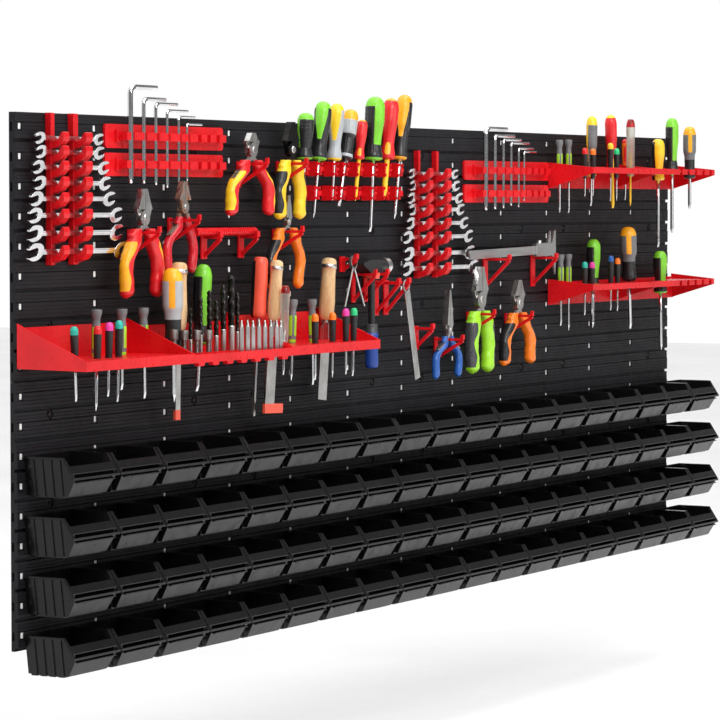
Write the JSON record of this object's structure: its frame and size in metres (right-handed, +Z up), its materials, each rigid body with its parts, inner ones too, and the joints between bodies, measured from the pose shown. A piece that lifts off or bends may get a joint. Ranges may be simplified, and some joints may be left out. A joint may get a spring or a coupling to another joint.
{
  "type": "pegboard tool wall",
  "caption": "Wall of ribbed black tool panels with storage bins, red racks, shelves and hooks, carrying pliers, screwdrivers, wrenches, hex keys, files, a hammer and a caliper.",
  "frame": {"origin": "centre of the panels' flat back face", "axes": "+X to the right along the wall, +Y into the wall, +Z up; the tools face -Y"},
  "size_m": [2.3668, 0.133, 0.8721],
  "materials": {
    "bin_plastic": "glossy",
    "black_steel": "black lacquer",
    "blue_grip": "dipped",
    "chrome": "polished",
    "dark_steel": "black oxide",
    "file_handle_wood": "varnished",
    "green_grip": "two-colour moulding",
    "handle_plastic": "two-colour moulding",
    "insulated_grip": "two-colour moulding",
    "orange_grip": "two-colour moulding",
    "panel_plastic": "matt, finely ribbed",
    "red_plastic": "satin to glossy",
    "stainless": "satin",
    "tool_steel": "ground and oiled",
    "yellow_grip": "two-colour moulding",
    "zinc_steel": "zinc plated"
  },
  "bodies": {
    "wall": {"bin_row_1": "bin_plastic", "bin_row_2": "bin_plastic", "bin_row_3": "bin_plastic", "bin_row_4": "bin_plastic", "bit_shelf_middle": "red_plastic", "caliper_beam": "stainless", "clip_driver_handles": "handle_plastic", "clip_driver_shafts": "tool_steel", "dividers": "tool_steel", "driver_bits": "tool_steel", "file_blades": "tool_steel", "file_handles": "file_handle_wood", "hanging_file": "stainless", "hex_key_rails": "red_plastic", "hex_keys": "chrome", "nut_driver_bits": "tool_steel", "panels_lower": "panel_plastic", "panels_upper": "panel_plastic", "pliers_fixed_grips": "insulated_grip", "pliers_fixed_halves": "tool_steel", "pliers_pivots": "tool_steel", "ribbed_bar": "red_plastic", "screwdriver_clip_rails": "red_plastic", "shelf_driver_handles": "handle_plastic", "shelf_driver_shafts": "tool_steel", "tool_hooks": "red_plastic", "tool_shelf_left": "red_plastic", "tool_shelf_lower_right": "red_plastic", "tool_shelf_middle_right": "red_plastic", "tool_shelf_upper_right": "red_plastic", "twist_drills": "dark_steel", "wall_screws": "zinc_steel", "wrench_racks": "red_plastic", "wrenches": "chrome"},
    "vde_combination_pliers_moving_half": {"vde_combination_pliers_moving_jaw": "tool_steel", "vde_combination_pliers_moving_grip": "insulated_grip"},
    "dipped_grip_pliers_moving_half": {"dipped_grip_pliers_moving_jaw": "tool_steel", "dipped_grip_pliers_moving_grip": "insulated_grip"},
    "vde_diagonal_cutter_moving_half": {"vde_diagonal_cutter_moving_jaw": "tool_steel", "vde_diagonal_cutter_moving_grip": "insulated_grip"},
    "linesman_pliers_moving_half": {"linesman_pliers_moving_jaw": "tool_steel", "linesman_pliers_moving_grip": "yellow_grip"},
    "long_nose_pliers_moving_half": {"long_nose_pliers_moving_jaw": "tool_steel", "long_nose_pliers_moving_grip": "orange_grip"},
    "needle_nose_pliers_moving_half": {"needle_nose_pliers_moving_jaw": "tool_steel", "needle_nose_pliers_moving_grip": "blue_grip"},
    "heavy_combination_pliers_moving_half": {"heavy_combination_pliers_moving_jaw": "tool_steel", "heavy_combination_pliers_moving_grip": "green_grip"},
    "diagonal_cutting_pliers_moving_half": {"diagonal_cutting_pliers_moving_jaw": "tool_steel", "diagonal_cutting_pliers_moving_grip": "orange_grip"},
    "caliper_slider": {"caliper_slider": "stainless"},
    "hammer": {"hammer_head": "black_steel", "hammer_collar": "red_plastic", "hammer_shaft": "black_steel", "hammer_grip": "blue_grip"},
    "bin_loose_upper": {"bin_loose_upper": "bin_plastic"},
    "bin_loose_lower": {"bin_loose_lower": "bin_plastic"},
    "wrench_loose": {"wrench_loose": "chrome"},
    "screwdriver_loose": {"screwdriver_loose_handle": "handle_plastic", "screwdriver_loose_shaft": "tool_steel"}
  },
  "joints": [
    {"name": "vde_combination_pliers_pivot", "type": "hinge", "parent": "wall", "child": "vde_combination_pliers_moving_half", "pos_m": [-0.858, -0.038, 0.236], "axis": [0, 1, 0], "range_deg": [0, 12]},
    {"name": "dipped_grip_pliers_pivot", "type": "hinge", "parent": "wall", "child": "dipped_grip_pliers_moving_half", "pos_m": [-0.745, -0.038, 0.252], "axis": [0, -1, 0], "range_deg": [0, 8]},
    {"name": "vde_diagonal_cutter_pivot", "type": "hinge", "parent": "wall", "child": "vde_diagonal_cutter_moving_half", "pos_m": [-0.541, -0.038, 0.343], "axis": [0, 1, 0], "range_deg": [0, 12]},
    {"name": "linesman_pliers_pivot", "type": "hinge", "parent": "wall", "child": "linesman_pliers_moving_half", "pos_m": [-0.417, -0.038, 0.345], "axis": [0, 1, 0], "range_deg": [0, 5]},
    {"name": "long_nose_pliers_pivot", "type": "hinge", "parent": "wall", "child": "long_nose_pliers_moving_half", "pos_m": [-0.43, -0.038, 0.228], "axis": [0, 1, 0], "range_deg": [0, 7]},
    {"name": "needle_nose_pliers_pivot", "type": "hinge", "parent": "wall", "child": "needle_nose_pliers_moving_half", "pos_m": [0.134, -0.038, 0.033], "axis": [0, 1, 0], "range_deg": [0, 10]},
    {"name": "heavy_combination_pliers_pivot", "type": "hinge", "parent": "wall", "child": "heavy_combination_pliers_moving_half", "pos_m": [0.258, -0.038, 0.083], "axis": [0, 1, 0], "range_deg": [0, 10]},
    {"name": "diagonal_cutting_pliers_pivot", "type": "hinge", "parent": "wall", "child": "diagonal_cutting_pliers_moving_half", "pos_m": [0.412, -0.038, 0.073], "axis": [0, 1, 0], "range_deg": [0, 12]},
    {"name": "caliper_slide", "type": "slide", "parent": "wall", "child": "caliper_slider", "axis": [-0.9998, 0, -0.0209], "range_m": [0, 0.14]},
    {"name": "hammer_lift_off", "type": "slide", "parent": "wall", "child": "hammer", "axis": [0, 0, 1], "range_m": [0, 0.04]},
    {"name": "bin_upper_pull_off", "type": "slide", "parent": "wall", "child": "bin_loose_upper", "axis": [0, -1, 0], "range_m": [0, 0.08]},
    {"name": "bin_lower_pull_off", "type": "slide", "parent": "wall", "child": "bin_loose_lower", "axis": [0, -1, 0], "range_m": [0, 0.08]},
    {"name": "wrench_lift_off", "type": "slide", "parent": "wall", "child": "wrench_loose", "axis": [0, 0, 1], "range_m": [0, 0.06]},
    {"name": "screwdriver_lift_off", "type": "slide", "parent": "wall", "child": "screwdriver_loose", "axis": [0, 0, 1], "range_m": [0, 0.12]}
  ]
}
